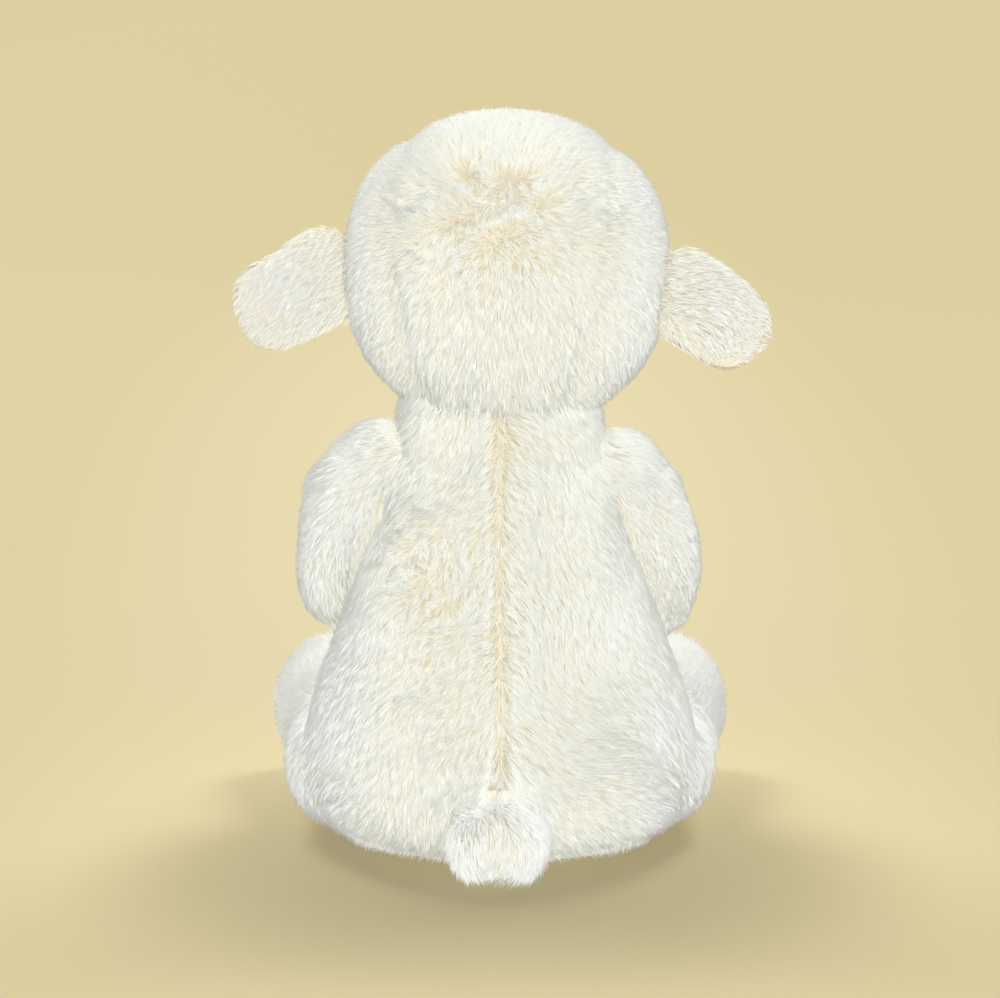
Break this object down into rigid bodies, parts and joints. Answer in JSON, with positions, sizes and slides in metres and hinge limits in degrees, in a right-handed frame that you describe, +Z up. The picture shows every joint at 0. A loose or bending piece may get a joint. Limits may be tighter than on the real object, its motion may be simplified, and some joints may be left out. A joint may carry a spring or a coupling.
{
  "type": "plush lamb",
  "caption": "Sitting stuffed lamb of long pale pile, with a head, drooping ears, arms, legs and a tail that bend at their seams.",
  "frame": {"origin": "middle of the flat seat that the lamb sits on, straight below its neck", "axes": "+Z up through the neck, -Y the way the face looks, +X the lamb's own left side"},
  "size_m": [0.2107, 0.1943, 0.2969],
  "materials": {
    "plush": "long soft pile",
    "velour": "short dense pile",
    "lining": "short smooth pile",
    "thread": "satin stitch embroidery",
    "eye_black": "polished dome",
    "washer_white": "moulded",
    "filling": "loose polyester fibre",
    "bag_cloth": "plain weave"
  },
  "bodies": {
    "torso": {"back_panel_left": "plush", "back_panel_right": "plush", "belly_panel": "plush", "seat_panel": "plush", "pellet_bag": "bag_cloth", "body_filling": "filling"},
    "head": {"head_gusset": "plush", "head_side_left": "plush", "head_side_right": "plush", "face_panel": "velour", "head_filling": "filling", "eye_left": "eye_black", "eye_right": "eye_black", "eye_washer_left": "washer_white", "eye_washer_right": "washer_white", "nose_stitching": "thread", "mouth_stitching": "thread"},
    "ear_left": {"ear_back_left": "plush", "ear_lining_left": "lining"},
    "ear_right": {"ear_back_right": "plush", "ear_lining_right": "lining"},
    "arm_left": {"arm_outer_left": "plush", "arm_inner_left": "plush", "arm_filling_left": "filling"},
    "arm_right": {"arm_outer_right": "plush", "arm_inner_right": "plush", "arm_filling_right": "filling"},
    "leg_left": {"leg_outer_left": "plush", "leg_inner_left": "plush", "sole_left": "lining", "leg_filling_left": "filling"},
    "leg_right": {"leg_outer_right": "plush", "leg_inner_right": "plush", "sole_right": "lining", "leg_filling_right": "filling"},
    "tail": {"tail_half_left": "plush", "tail_half_right": "plush", "tail_filling": "filling"}
  },
  "joints": [
    {"name": "neck_nod", "type": "hinge", "parent": "torso", "child": "head", "pos_m": [0, 0, 0.17], "axis": [1, 0, 0], "range_deg": [-12, 15], "stiffness_Nm_per_rad": 0.4},
    {"name": "ear_flop_left", "type": "hinge", "parent": "head", "child": "ear_left", "pos_m": [0.06072, -0.00337, 0.23516], "axis": [-0.4045, 0.0425, -0.9135], "range_deg": [-15, 60], "stiffness_Nm_per_rad": 0.03},
    {"name": "ear_flop_right", "type": "hinge", "parent": "head", "child": "ear_right", "pos_m": [-0.06447, 0.00979, 0.23076], "axis": [-0.4669, 0.0491, 0.8829], "range_deg": [-15, 60], "stiffness_Nm_per_rad": 0.03},
    {"name": "arm_swing_left", "type": "hinge", "parent": "torso", "child": "arm_left", "pos_m": [0.04511, -0.00042, 0.152], "axis": [-0.9659, 0, -0.2588], "range_deg": [-6, 75], "stiffness_Nm_per_rad": 0.15},
    {"name": "arm_swing_right", "type": "hinge", "parent": "torso", "child": "arm_right", "pos_m": [-0.04511, -0.00042, 0.152], "axis": [-0.9659, 0, 0.2588], "range_deg": [-6, 75], "stiffness_Nm_per_rad": 0.15},
    {"name": "leg_swing_left", "type": "hinge", "parent": "torso", "child": "leg_left", "pos_m": [0.0535, -0.014, 0.0325], "axis": [1, 0, 0], "range_deg": [-12, 60], "stiffness_Nm_per_rad": 0.4},
    {"name": "leg_swing_right", "type": "hinge", "parent": "torso", "child": "leg_right", "pos_m": [-0.0535, -0.014, 0.0325], "axis": [1, 0, 0], "range_deg": [-12, 60], "stiffness_Nm_per_rad": 0.4},
    {"name": "tail_lift", "type": "hinge", "parent": "torso", "child": "tail", "pos_m": [0, 0.05791, 0.037], "axis": [1, 0, 0], "range_deg": [0, 55], "stiffness_Nm_per_rad": 0.03}
  ]
}
